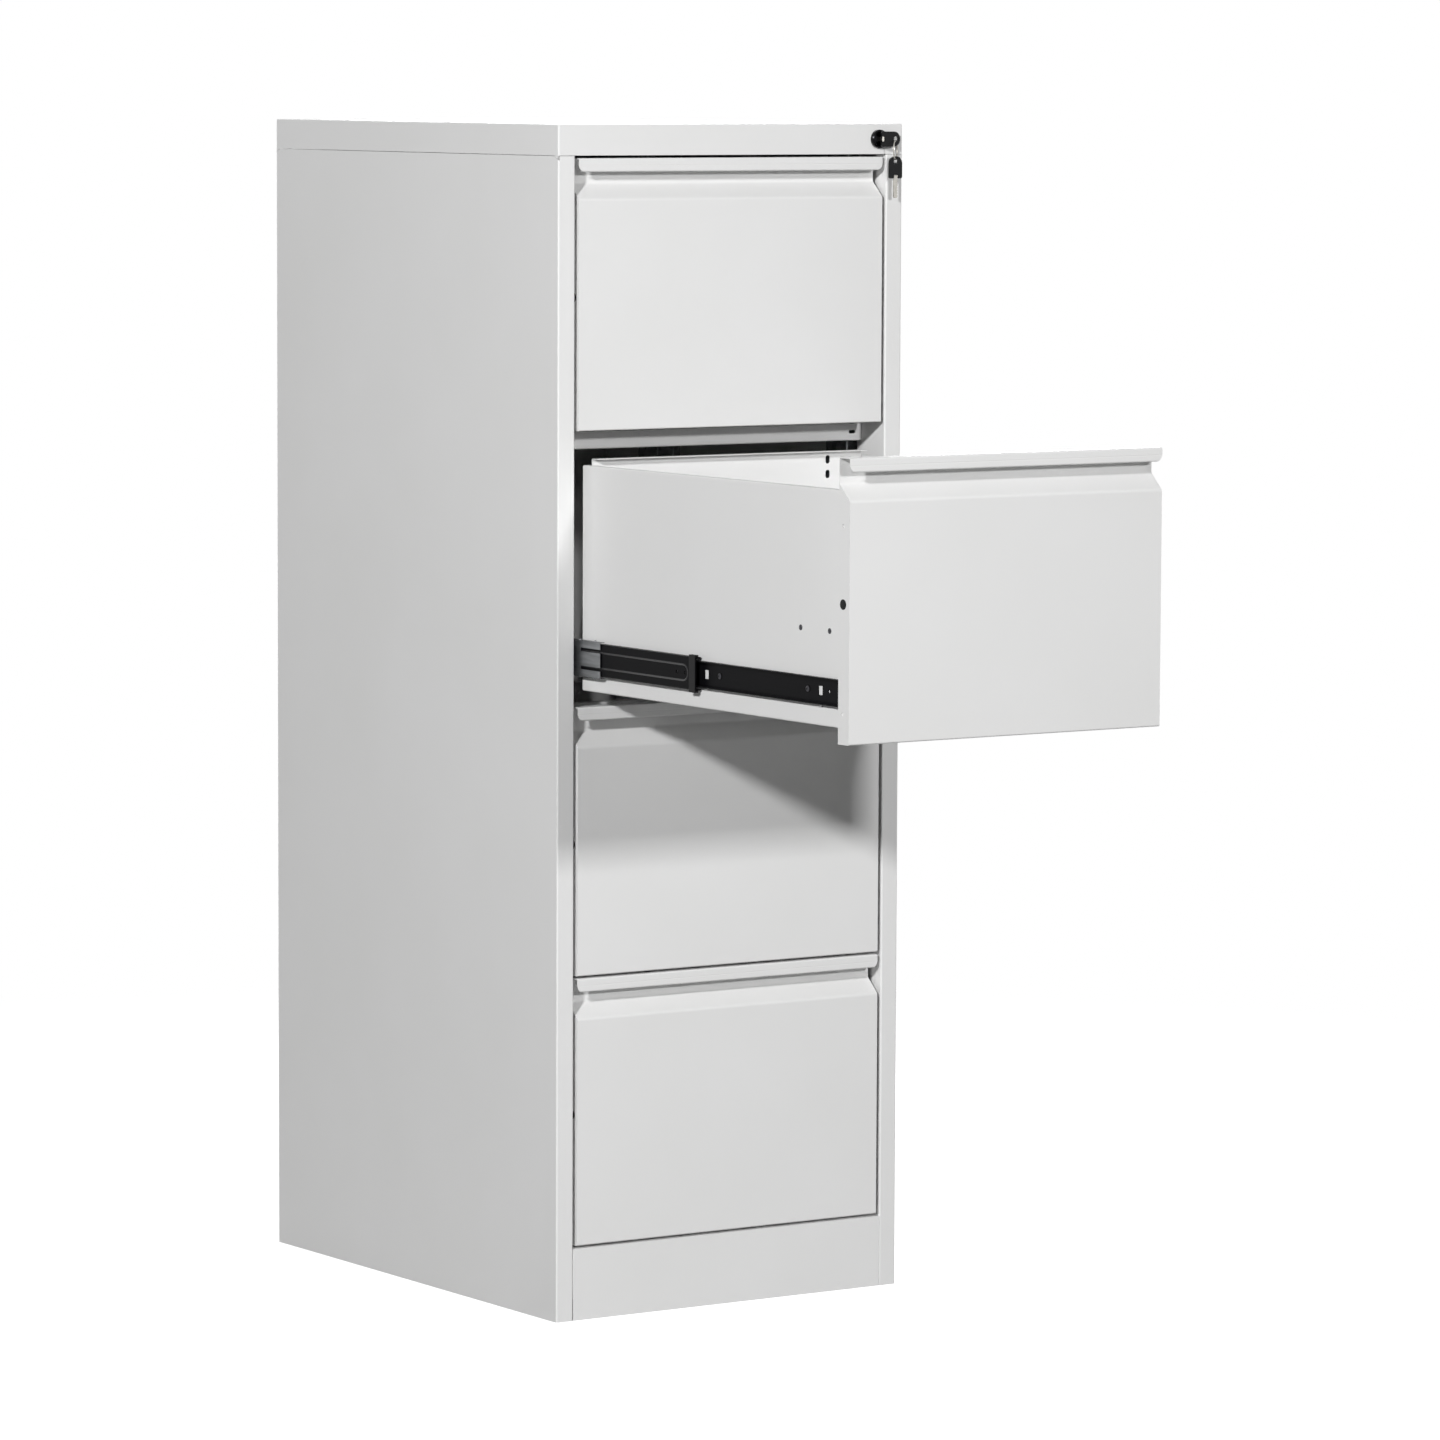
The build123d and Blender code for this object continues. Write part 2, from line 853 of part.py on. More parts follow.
def lock_cam():
    """Cam on the core's rear end, with the pin that lifts the lock bar."""
    low = front_y + lock_body_depth + touch
    high = low + cam_thickness
    cam = rod_y(0, low, high, 0, plug_radius)
    cam += block(0, cam_radius, low, high, -cam_half_width, cam_half_width)
    cam += rod_y(cam_radius, low, high, 0, cam_half_width)
    cam += rod_y(cam_radius, high, bar_high_y, 0, cam_pin_radius)
    return Pos(lock_x, 0, lock_z) * Rot(0, lock_turn / 2, 0) * cam


def lock_bar():
    """Upright bar that the cam lifts, with a slotted head plate and a finger for each drawer welded to it.

    Lifted, each finger stands in front of its drawer's catch."""
    pin_z = lock_z - bar_travel / 2
    head_top = pin_z + bar_head_height / 2
    bottom = lip_top(drawer_count) - finger_drop - finger_height
    bar = block(bar_inner_x, bar_inner_x + bar_width, bar_low_y, bar_high_y, bottom, head_top)
    pin_near = lock_x + cam_radius * math.cos(math.radians(lock_turn / 2))
    pin_far = lock_x + cam_radius
    room = cam_pin_radius + bar_slot_clearance
    head_low = pin_z - bar_head_height / 2
    head_inner_x = pin_near - room - bar_head_margin
    head = block(head_inner_x, bar_inner_x, bar_low_y, bar_high_y, head_low, head_top)
    head -= block(
        pin_near - room,
        pin_far + room,
        bar_low_y - 1,
        bar_high_y + 1,
        pin_z - room,
        pin_z + room,
    )
    pieces = [bar, head]
    for number in range(1, drawer_count + 1):
        finger_top = lip_top(number) - finger_drop
        finger = block(
            catch_x - finger_overlap,
            bar_inner_x,
            bar_low_y,
            bar_high_y,
            finger_top - finger_height,
            finger_top,
        )
        pieces.append(finger)
    return pieces


def lock_bar_guides():
    """Clips on the right wall that the lock bar slides in, one for each drawer."""
    outer_x = bar_inner_x + bar_width
    guides = []
    for number in range(1, drawer_count + 1):
        height = lip_top(number) - guide_drop
        clip = block(
            outer_x - guide_grip,
            wall_inner,
            bar_low_y - touch - guide_wall,
            guide_rear_y,
            height - guide_height / 2,
            height + guide_height / 2,
        )
        clip -= block(
            outer_x - guide_grip - 1,
            outer_x + touch,
            bar_low_y - touch,
            bar_high_y + touch,
            height - guide_height,
            height + guide_height,
        )
        guides.append(clip)
    return guides


def key_blade():
    """A key's blade, lying along +X from its fold pin at the origin, flat in the XY plane."""
    length = key_fold_gap + plug_recess + key_blade_length - touch
    blade = Pos(length / 2, 0, 0) * Box(length, key_blade_height, key_thickness)
    blade = chamfer(blade.edges().filter_by(Axis.Z).sort_by(Axis.X)[-2:], key_tip_chamfer)
    for index in range(key_cut_count):
        cut_x = length - key_blade_length * (1 - key_cut_start - key_cut_spacing * index)
        cut = Box(key_cut_size, key_cut_size, key_thickness + 1)
        blade -= Pos(cut_x, key_blade_height / 2, 0) * Rot(0, 0, 45) * cut
    blade += Rot(90, 0, 0) * Cylinder(key_eye_radius, key_blade_height)
    return blade + Rot(90, 0, 0) * Cylinder(key_pin_radius, key_pin_length)


def key_head():
    """A key's moulded head, reaching along -X from the fold pin. It is forked round the blade's eye."""
    middle_x = key_head_overhang - key_head_length / 2
    head = Pos(middle_x, 0, 0) * Box(key_head_length, key_head_width, key_head_thickness)
    head = fillet(head.edges().filter_by(Axis.Z).sort_by(Axis.X)[-2:], key_head_corner)
    head = fillet(head.edges().filter_by(Axis.Z).sort_by(Axis.X)[:2], key_head_width / 2 - touch)
    head -= Pos(-key_hole_reach, 0, 0) * Cylinder(key_hole_radius, key_head_thickness + 1)
    fork = key_blade_height / 2 + touch
    head -= block(
        -key_eye_radius - touch,
        key_head_overhang + 1,
        -fork,
        fork,
        -key_head_thickness,
        key_head_thickness,
    )
    return head - Rot(90, 0, 0) * Cylinder(key_pin_radius + key_pin_running, key_pin_length + 2 * touch)


def key_pose():
    """Place of a straight key in the lock, its blade in the keyway."""
    return Pos(lock_x, key_fold_y, lock_z) * Rot(0, 90, 0) * Rot(0, 0, 90)


def folded_head_pose():
    """Place of the key's head, folded to the right so that it lies flat before the cap's front band."""
    return Pos(lock_x, key_fold_y, lock_z) * Rot(0, 0, 90) * Rot(0, 90, 0) * Rot(0, 0, 90)


def spare_key_on_ring():
    """Second key, hanging straight from a wire ring through the first key's head."""
    ring = Torus(ring_radius, ring_wire_radius)
    ring = Pos(key_hole_x, key_fold_y, ring_z) * Rot(0, 0, ring_turn) * Rot(90, 0, 0) * ring
    pin_z = spare_hole_z - key_hole_reach
    pose = Pos(key_hole_x, key_fold_y, pin_z) * Rot(90, 0, 0) * Rot(0, 0, -90)
    return [pose * key_head(), pose * key_blade(), ring]


os.makedirs("parts", exist_ok=True)

left_side = side_panel()
save("left_side_panel", [left_side])
save("right_side_panel", [mirror(left_side, about=Plane.YZ)])
save("top_panel", [top_panel()])
save("back_panel", [back_panel()])
save("base_pan", [base_pan()])
save("plinth", [plinth()])
save("cross_rails", cross_rails())
save("slide_posts", slide_posts())
save("lock_barrel", [lock_barrel()])
save("lock_plug", [lock_plug()])
save("lock_cam", [lock_cam()])
save("lock_bar", lock_bar())
save("lock_bar_guides", lock_bar_guides())
save("key", [key_pose() * key_blade()])
save("key_head", [folded_head_pose() * key_head()])
save("spare_key_on_ring", spare_key_on_ring())

for number in range(1, drawer_count + 1):
    top = lip_top(number)
    prefix = "drawer_" + str(number) + "_"
    drawer_pieces = {
        "front": ([drawer_front(top)], 1.0),
        "front_liner": ([drawer_liner(top)], 1.0),
        "tray": (drawer_tray(top), 1.0),
        "back": ([drawer_back(top)], 1.0),
        "screws": (drawer_screws(top), 1.0),
        "bumpers": (drawer_bumpers(top), 1.0),
        "slide_inner": (slide_inner(top), 1.0),
        "slide_middle": (slide_middle(top), 0.5),
        "slide_outer": (slide_outer(top), 0.0),
        "cages_outer": (cages_outer(top), 0.25),
        "cages_inner": (cages_inner(top), 0.75),
    }
    for piece, (shapes, share) in drawer_pieces.items():
        save(prefix + piece, [Pos(0, shift(number, share), 0) * shape for shape in shapes])
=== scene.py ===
import bmesh
import bpy
import math
from mathutils import Matrix, Vector


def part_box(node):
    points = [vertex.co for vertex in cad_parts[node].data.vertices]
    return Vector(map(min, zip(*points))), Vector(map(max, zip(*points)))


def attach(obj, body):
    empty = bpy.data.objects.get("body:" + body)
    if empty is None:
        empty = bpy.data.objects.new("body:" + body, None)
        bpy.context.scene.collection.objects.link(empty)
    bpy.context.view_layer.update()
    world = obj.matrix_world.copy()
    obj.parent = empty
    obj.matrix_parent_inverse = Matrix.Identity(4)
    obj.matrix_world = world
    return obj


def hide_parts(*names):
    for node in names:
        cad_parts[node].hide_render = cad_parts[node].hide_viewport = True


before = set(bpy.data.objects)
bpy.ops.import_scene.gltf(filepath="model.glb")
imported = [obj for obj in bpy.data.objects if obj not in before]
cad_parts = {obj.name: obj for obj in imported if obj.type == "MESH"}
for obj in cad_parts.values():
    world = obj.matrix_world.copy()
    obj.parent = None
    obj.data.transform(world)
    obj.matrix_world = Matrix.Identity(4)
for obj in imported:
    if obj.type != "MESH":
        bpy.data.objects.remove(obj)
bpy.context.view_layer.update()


# Cabinet body: two side walls with their front stiles, a cap, a back, a base pan, a kick panel and
# the cross rails. Folded from 0.8 mm steel sheet, spot welded, then powder coated white as a whole.
def linear(hex_colour):
    """A colour written as sRGB hex, as the linear values that a shader takes."""
    parts = [int(hex_colour[start:start + 2], 16) / 255 for start in (1, 3, 5)]
    lit = [p / 12.92 if p <= 0.04045 else ((p + 0.055) / 1.055) ** 2.4 for p in parts]
    return (*lit, 1.0)


def add(tree, kind, inputs=None, **settings):
    """Add a node with its settings. Each input is a value, or the socket that it is linked from."""
    node = tree.nodes.new(kind)
    for name, value in settings.items():
        setattr(node, name, value)
    for name, value in (inputs or {}).items():
        if isinstance(value, bpy.types.NodeSocket):
            tree.links.new(value, node.inputs[name])
        else:
            node.inputs[name].default_value = value
    return node


def new_material(name, roughness, metallic=0.0):
    """A material to be patterned: its tree, its shader, and the place on the piece in metres."""
    material = bpy.data.materials.new(name)
    material.use_nodes = True
    tree = material.node_tree
    shader = tree.nodes["Principled BSDF"]
    shader.inputs["Roughness"].default_value = roughness
    shader.inputs["Metallic"].default_value = metallic
    place = add(tree, "ShaderNodeTexCoord").outputs["Object"]
    return material, tree, shader, place


def per_metre(millimetres):
    """The scale of a texture whose pattern repeats about this often, for a place in metres."""
    return 1000 / millimetres


def dress(material, *nodes):
    """Give CAD nodes their material."""
    for node in nodes:
        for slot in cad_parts[node].material_slots:
            slot.material = material


# Powder coat, sprayed polyester baked on steel: an even satin white. Its orange peel is about 2 mm
# from crest to crest, drawn at 4 mm so that it shows, with a grain of 0.3 mm drawn at 1.2 mm, and
# the film is a little thicker in some places.
powder_coat, tree, shader, place = new_material("powder_coat_satin_white", 0.42)
peel = add(tree, "ShaderNodeTexNoise", {"Vector": place, "Scale": per_metre(4), "Detail": 2.0})
grain = add(tree, "ShaderNodeTexNoise", {"Vector": place, "Scale": per_metre(1.2), "Detail": 1.0})
film = add(tree, "ShaderNodeTexNoise", {"Vector": place, "Scale": per_metre(160), "Detail": 2.0})
shade = add(tree, "ShaderNodeMix", {
    0: film.outputs[0], 6: linear("#EBEBEA"), 7: linear("#F1F1F1"),
}, data_type="RGBA")
tree.links.new(shade.outputs[2], shader.inputs["Base Color"])
gloss = add(tree, "ShaderNodeMapRange", {"Value": grain.outputs[0], "To Min": 0.36, "To Max": 0.50})
tree.links.new(gloss.outputs[0], shader.inputs["Roughness"])
fine = add(tree, "ShaderNodeBump", {
    "Height": grain.outputs[0], "Strength": 0.10, "Distance": 0.0002,
})
waves = add(tree, "ShaderNodeBump", {
    "Height": peel.outputs[0], "Strength": 0.12, "Distance": 0.0006, "Normal": fine.outputs[0],
})
tree.links.new(waves.outputs[0], shader.inputs["Normal"])
dress(powder_coat, "left_side_panel", "right_side_panel", "top_panel", "back_panel", "base_pan",
      "plinth", "cross_rails")


# Slide posts: two upright hat sections welded to each side wall, of galvanised strip that isn't
# painted, with the slides' outer members on them.
# Hot-dip galvanising: the zinc has grown in flat crystals of about 9 mm, which show as a patchwork
# of slightly different greys.
galvanised, tree, shader, place = new_material("hot_dip_galvanised_steel", 0.45, 1.0)
spangle = add(tree, "ShaderNodeTexVoronoi", {"Vector": place, "Scale": per_metre(9)})
level = add(tree, "ShaderNodeSeparateColor", {"Color": spangle.outputs["Color"]})
shade = add(tree, "ShaderNodeMix", {
    0: level.outputs[0], 6: linear("#9A9D9F"), 7: linear("#B9BCBD"),
}, data_type="RGBA")
tree.links.new(shade.outputs[2], shader.inputs["Base Color"])
gloss = add(tree, "ShaderNodeMapRange", {"Value": level.outputs[1], "To Min": 0.34, "To Max": 0.55})
tree.links.new(gloss.outputs[0], shader.inputs["Roughness"])
dress(galvanised, "slide_posts")


# Cam lock in the cap's front band: a zinc die casting with a bevelled head, and a turning core with
# the keyway in it, both chromed black.
# Black chrome: smooth and nearly black, with small hard glints. The cast skin under it is 0.4 mm
# coarse, drawn at 1.5 mm so that it shows.
black_chrome, tree, shader, place = new_material("black_chrome_on_cast_zinc", 0.20, 1.0)
skin = add(tree, "ShaderNodeTexNoise", {"Vector": place, "Scale": per_metre(1.5), "Detail": 2.0})
shade = add(tree, "ShaderNodeMix", {
    0: skin.outputs[0], 6: linear("#111112"), 7: linear("#222224"),
}, data_type="RGBA")
tree.links.new(shade.outputs[2], shader.inputs["Base Color"])
gloss = add(tree, "ShaderNodeMapRange", {"Value": skin.outputs[0], "To Min": 0.15, "To Max": 0.27})
tree.links.new(gloss.outputs[0], shader.inputs["Roughness"])
dress(black_chrome, "lock_barrel", "lock_plug")


# Lock bar: the core turns a cam, whose pin lifts an upright bar with a finger for each drawer. Cam
# and bar are blanked from zinc-plated steel, and the bar slides in plastic clips on the right wall.
# Clear-passivated zinc plate: bright grey with a faint blue and straw tint in slow patches. Its
# crystals are far finer than 0.7 mm, and are drawn at that so that they break up the gloss.
zinc_plate, tree, shader, place = new_material("zinc_plated_steel_clear_passivated", 0.34, 1.0)
bath = add(tree, "ShaderNodeTexNoise", {"Vector": place, "Scale": per_metre(14), "Detail": 3.0})
shade = add(tree, "ShaderNodeMix", {
    0: bath.outputs[0], 6: linear("#A9AFB6"), 7: linear("#C4C2B8"),
}, data_type="RGBA")
tree.links.new(shade.outputs[2], shader.inputs["Base Color"])
crystals = add(tree, "ShaderNodeTexNoise", {
    "Vector": place, "Scale": per_metre(0.7), "Detail": 1.0,
})
gloss = add(tree, "ShaderNodeMapRange", {
    "Value": crystals.outputs[0], "To Min": 0.26, "To Max": 0.44,
})
tree.links.new(gloss.outputs[0], shader.inputs["Roughness"])
dress(zinc_plate, "lock_cam", "lock_bar")

# Moulded acetal, black all through: it takes a dull sheen from the spark-eroded mould, whose
# texture of 0.15 mm is drawn at 0.5 mm so that it shows, and has slightly paler flow marks. Its
# specular level is low, as on the keys' heads, buttons and slides: the white all round would turn
# them grey.
acetal, tree, shader, place = new_material("acetal_moulded_black", 0.42)
shader.inputs["Specular IOR Level"].default_value = 0.15
flow = add(tree, "ShaderNodeTexNoise", {"Vector": place, "Scale": per_metre(6), "Detail": 2.0})
shade = add(tree, "ShaderNodeMix", {
    0: flow.outputs[0], 6: linear("#0C0C0D"), 7: linear("#161617"),
}, data_type="RGBA")
tree.links.new(shade.outputs[2], shader.inputs["Base Color"])
spark = add(tree, "ShaderNodeTexNoise", {"Vector": place, "Scale": per_metre(0.5), "Detail": 1.0})
texture = add(tree, "ShaderNodeBump", {
    "Height": spark.outputs[0], "Strength": 0.15, "Distance": 0.0001,
})
tree.links.new(texture.outputs[0], shader.inputs["Normal"])
dress(acetal, "lock_bar_guides")


# Keys, one in the lock and a spare that hangs from it: a steel blade blanked with its cuts and
# nickel plated, in a head of black moulded plastic. The head of the one in the lock is folded over.
weld_reach = 0.000002
flat_within = math.radians(1)
crease = math.radians(35)
edge_angle = math.radians(40)


def solids_of(node):
    """The separate solids of a CAD node, the largest first, with their triangles joined up."""
    source = bmesh.new()
    source.from_mesh(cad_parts[node].data)
    bmesh.ops.remove_doubles(source, verts=source.verts, dist=weld_reach)
    bmesh.ops.dissolve_limit(
        source, angle_limit=flat_within, verts=source.verts, edges=source.edges,
    )
    waiting = set(source.verts)
    pieces = []
    while waiting:
        # From one vertex, along the edges, to all that hang together: they are one solid.
        found = {waiting.pop()}
        border = list(found)
        while border:
            vert = border.pop()
            beside = {edge.other_vert(vert) for edge in vert.link_edges} - found
            found |= beside
            border += beside
        waiting -= found
        piece = source.copy()
        picked = {vert.index for vert in found}
        others = [vert for vert in piece.verts if vert.index not in picked]
        bmesh.ops.delete(piece, geom=others, context="VERTS")
        pieces.append(piece)
    source.free()
    return sorted(pieces, key=lambda piece: -piece.calc_volume())


def finish_piece(name, mesh, material, body, slot, *nodes, rounding=0.0):
    """Make a mesh a piece of the object: its finish, body and the CAD nodes it stands for. Its slot
    is not used.
    """
    piece = bpy.data.objects.new(name, mesh)
    bpy.context.scene.collection.objects.link(piece)
    mesh.materials.clear()
    mesh.materials.append(material)
    mesh.shade_smooth()
    mesh.set_sharp_from_angle(angle=crease)
    if rounding:
        edges = piece.modifiers.new("rounded_edges", "BEVEL")
        edges.width = rounding
        edges.segments = 3
        edges.limit_method = "ANGLE"
        edges.angle_limit = edge_angle
        edges.harden_normals = True
    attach(piece, body)
    if nodes:
        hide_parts(*nodes)


# Moulded ABS: black and half glossy, its gloss broken by a mould texture of 0.15 mm, which is drawn
# at 0.45 mm so that it shows.
moulded_abs, tree, shader, place = new_material("abs_moulded_black", 0.30)
shader.inputs["Specular IOR Level"].default_value = 0.2
spark = add(tree, "ShaderNodeTexNoise", {"Vector": place, "Scale": per_metre(0.45), "Detail": 1.0})
shade = add(tree, "ShaderNodeMix", {
    0: spark.outputs[0], 6: linear("#0B0B0C"), 7: linear("#151516"),
}, data_type="RGBA")
tree.links.new(shade.outputs[2], shader.inputs["Base Color"])
texture = add(tree, "ShaderNodeBump", {
    "Height": spark.outputs[0], "Strength": 0.10, "Distance": 0.0001,
})
tree.links.new(texture.outputs[0], shader.inputs["Normal"])

# Nickel plate: a warm bright grey that shows fine scratches from wear. They are 0.02 mm wide, drawn
# at 0.3 mm so that they show.
nickel, tree, shader, place = new_material("nickel_plated_steel", 0.28, 1.0)
along = add(tree, "ShaderNodeMapping", {"Vector": place, "Scale": (1.0, 0.08, 0.08)})
scratch = add(tree, "ShaderNodeTexNoise", {
    "Vector": along.outputs[0], "Scale": per_metre(0.3), "Detail": 3.0,
})
shade = add(tree, "ShaderNodeMix", {
    0: scratch.outputs[0], 6: linear("#A8A59F"), 7: linear("#C9C6BF"),
}, data_type="RGBA")
tree.links.new(shade.outputs[2], shader.inputs["Base Color"])
gloss = add(tree, "ShaderNodeMapRange", {"Value": scratch.outputs[0], "To Min": 0.20, "To Max": 0.38})
tree.links.new(gloss.outputs[0], shader.inputs["Roughness"])

# Each node's solids are named from the largest down: a head is larger than its blade. The spare's
# third solid, the CAD ring, is left out here, because the split ring below stands for it.
head_rounding = 0.0006
blade_rounding = 0.00012
for node, body, parts in (
    ("key", "lock_core", [("key_blade", nickel, "key_metal", blade_rounding)]),
    ("key_head", "key_head", [("key_head_moulding", moulded_abs, "black_plastic", head_rounding)]),
    ("spare_key_on_ring", "spare_key", [
        ("spare_key_head_moulding", moulded_abs, "black_plastic", head_rounding),
        ("spare_key_blade", nickel, "key_metal", blade_rounding),
    ]),
):
    solids = solids_of(node)
    for solid, (name, material, slot, rounding) in zip(solids, parts):
        key_mesh = bpy.data.meshes.new(name)
        solid.to_mesh(key_mesh)
        finish_piece(name, key_mesh, material, body, slot, node, rounding=rounding)
    for solid in solids:
        solid.free()


# Split ring through both heads: nickel-plated spring wire wound twice round, its turns lying side
# by side and its two ends cut square. It hangs at a slant from the hole in the folded head.
def wire(name, places, radius, roundness, closed):
    """A round wire through these places, as a mesh. One that isn't closed is capped at its ends."""
    curve = bpy.data.curves.new(name, "CURVE")
    curve.dimensions = "3D"
    curve.bevel_depth = radius
    curve.bevel_resolution = roundness
    curve.use_fill_caps = not closed
    line = curve.splines.new("POLY")
    line.points.add(len(places) - 1)
    for point, place in zip(line.points, places):
        point.co = (*place, 1.0)
    line.use_cyclic_u = closed
    holder = bpy.data.objects.new(name, curve)
    mesh = bpy.data.meshes.new_from_object(holder)
    mesh.name = name
    bpy.data.objects.remove(holder)
    return mesh


lock_x = 0.197
lock_z = 1.313
hole_reach = 0.017
head_half_thickness = 0.0015
ring_wire = 0.00045
ring_radius = 0.011
ring_drop = 0.0014
ring_turn = math.radians(45)
ring_steps = 72

# In turns of the wire: where its ends lie, and where it crosses over to lie beside itself.
ring_start = 0.3
crossing_start = 0.75
crossing_length = 0.5
head_middle_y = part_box("key_head")[0].y + head_half_thickness
ring_middle = Vector((lock_x + hole_reach, head_middle_y, lock_z - ring_drop - ring_radius))
slant = Matrix.Rotation(ring_turn, 4, "Z") @ Matrix.Rotation(math.radians(90), 4, "X")
ring_places = []
for step in range(2 * ring_steps):
    turned = step / ring_steps
    angle = 2 * math.pi * (turned + ring_start)
    crossed = min(max((turned - crossing_start) / crossing_length, 0.0), 1.0)
    flat = Vector((math.cos(angle), math.sin(angle), 0)) * ring_radius
    flat.z = (crossed * 2 - 1) * ring_wire
    ring_places.append(slant @ flat + ring_middle)
ring_mesh = wire("split_ring", ring_places, ring_wire, 2, closed=False)
finish_piece("split_ring", ring_mesh, nickel, "spare_key", "key_metal", "spare_key_on_ring")


# Drawers: a folded outer front with the finger grip across it, an inner front, a tray and a taller
# back. Each is folded sheet, welded or screwed together and coated in the cabinet's white. Along
# each lip runs a faint line, 8 mm below its top edge, where the folding tool pressed on it.
drawers = range(1, 5)
for number in drawers:
    for piece in ("front_liner", "tray", "back"):
        dress(powder_coat, f"drawer_{number}_{piece}")

line_drop = 0.008
line_half_width = 0.0009
front_coat = powder_coat.copy()
front_coat.name = "powder_coat_satin_white_on_fronts"
tree = front_coat.node_tree
shader = tree.nodes["Principled BSDF"]
place = add(tree, "ShaderNodeTexCoord").outputs["Object"]
height = add(tree, "ShaderNodeSeparateXYZ", {"Vector": place})
lip_tops = [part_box(f"drawer_{number}_front")[1].z for number in drawers]
pitch = lip_tops[0] - lip_tops[1]
below_line = add(tree, "ShaderNodeMath", {
    0: lip_tops[0] - line_drop, 1: height.outputs["Z"],
}, operation="SUBTRACT")
to_line = add(tree, "ShaderNodeMath", {
    0: below_line.outputs[0], 1: pitch / 2, 2: -pitch / 2,
}, operation="WRAP")
away = add(tree, "ShaderNodeMath", {0: to_line.outputs[0]}, operation="ABSOLUTE")
groove = add(tree, "ShaderNodeMapRange", {
    "Value": away.outputs[0], "From Max": line_half_width, "To Min": 0.0, "To Max": 1.0,
}, interpolation_type="SMOOTHSTEP")
pressed = add(tree, "ShaderNodeBump", {
    "Height": groove.outputs[0], "Strength": 0.6, "Distance": 0.0002,
    "Normal": shader.inputs["Normal"].links[0].from_socket,
})
tree.links.new(pressed.outputs[0], shader.inputs["Normal"])
for number in drawers:
    dress(front_coat, f"drawer_{number}_front")


# Screws, rivets and buttons of each drawer: pan-head screws hold the slides and the front, two
# blind rivets stand on the left side, and a rubber button in each front flange damps its closing.
def round_bar(tree, radius, low, high, around, rings):
    """A bar along Z from one height to another and its top, in rings. Sizes may be sockets."""
    depth = add(tree, "ShaderNodeMath", {0: high, 1: low}, operation="SUBTRACT")
    both = add(tree, "ShaderNodeMath", {0: high, 1: low}, operation="ADD")
    middle = add(tree, "ShaderNodeMath", {0: both.outputs[0], 1: 0.5}, operation="MULTIPLY")
    lift = add(tree, "ShaderNodeCombineXYZ", {"Z": middle.outputs[0]})
    bar = add(tree, "GeometryNodeMeshCylinder", {
        "Vertices": around, "Side Segments": 1, "Fill Segments": rings, "Radius": radius,
        "Depth": depth.outputs[0],
    }, fill_type="TRIANGLE_FAN")
    placed = add(tree, "GeometryNodeTransform", {
        "Geometry": bar.outputs["Mesh"], "Translation": lift.outputs[0],
    })
    return placed.outputs[0], bar.outputs["Top"]


heads = bpy.data.node_groups.new("fastener_heads", "GeometryNodeTree")
heads.interface.new_socket("Seats", in_out="INPUT", socket_type="NodeSocketGeometry")
for size in ("Head Radius", "Rim Height", "Dome", "Dimple Radius", "Dimple Depth", "Recess Length",
             "Recess Width", "Recess Depth", "Shank Radius", "Shank Length"):
    heads.interface.new_socket(size, in_out="INPUT", socket_type="NodeSocketFloat")
heads.interface.new_socket("Finish", in_out="INPUT", socket_type="NodeSocketMaterial")
heads.interface.new_socket("Pieces", in_out="OUTPUT", socket_type="NodeSocketGeometry")
given = add(heads, "NodeGroupInput").outputs

# The head: a short round bar, its top raised to a dome and sunk again within the dimple.
head, top = round_bar(heads, given["Head Radius"], 0.0, given["Rim Height"], 18, 6)
at = add(heads, "GeometryNodeInputPosition")
flat = add(heads, "ShaderNodeVectorMath", {0: at.outputs[0], 1: (1, 1, 0)}, operation="MULTIPLY")
out = add(heads, "ShaderNodeVectorMath", {0: flat.outputs[0]}, operation="LENGTH")
share = add(heads, "ShaderNodeMath", {
    0: out.outputs["Value"], 1: given["Head Radius"],
}, operation="DIVIDE")
square = add(heads, "ShaderNodeMath", {0: share.outputs[0], 1: 2.0}, operation="POWER")
fall = add(heads, "ShaderNodeMath", {0: 1.0, 1: square.outputs[0]}, operation="SUBTRACT")
rise = add(heads, "ShaderNodeMath", {0: fall.outputs[0], 1: given["Dome"]}, operation="MULTIPLY")
inside = add(heads, "ShaderNodeMath", {
    0: out.outputs["Value"], 1: given["Dimple Radius"],
}, operation="LESS_THAN")
sink = add(heads, "ShaderNodeMath", {
    0: inside.outputs[0], 1: given["Dimple Depth"],
}, operation="MULTIPLY")
raised_by = add(heads, "ShaderNodeMath", {
    0: rise.outputs[0], 1: sink.outputs[0],
}, operation="SUBTRACT")
upward = add(heads, "ShaderNodeCombineXYZ", {"Z": raised_by.outputs[0]})
domed = add(heads, "GeometryNodeSetPosition", {
    "Geometry": head, "Selection": top, "Offset": upward.outputs[0],
})

# The cross recess of a screw: two crossed slots cut down from the crown.
crown = add(heads, "ShaderNodeMath", {0: given["Rim Height"], 1: given["Dome"]}, operation="ADD")
deep = add(heads, "ShaderNodeMath", {0: given["Recess Depth"], 1: 2.0}, operation="MULTIPLY")
cross = add(heads, "GeometryNodeJoinGeometry")
for along_x, along_y in (("Recess Length", "Recess Width"), ("Recess Width", "Recess Length")):
    size = add(heads, "ShaderNodeCombineXYZ", {
        "X": given[along_x], "Y": given[along_y], "Z": deep.outputs[0],
    })
    recess = add(heads, "GeometryNodeMeshCube", {"Size": size.outputs[0]})
    heads.links.new(recess.outputs["Mesh"], cross.inputs[0])
to_crown = add(heads, "ShaderNodeCombineXYZ", {"Z": crown.outputs[0]})
cutter = add(heads, "GeometryNodeTransform", {
    "Geometry": cross.outputs[0], "Translation": to_crown.outputs[0],
})
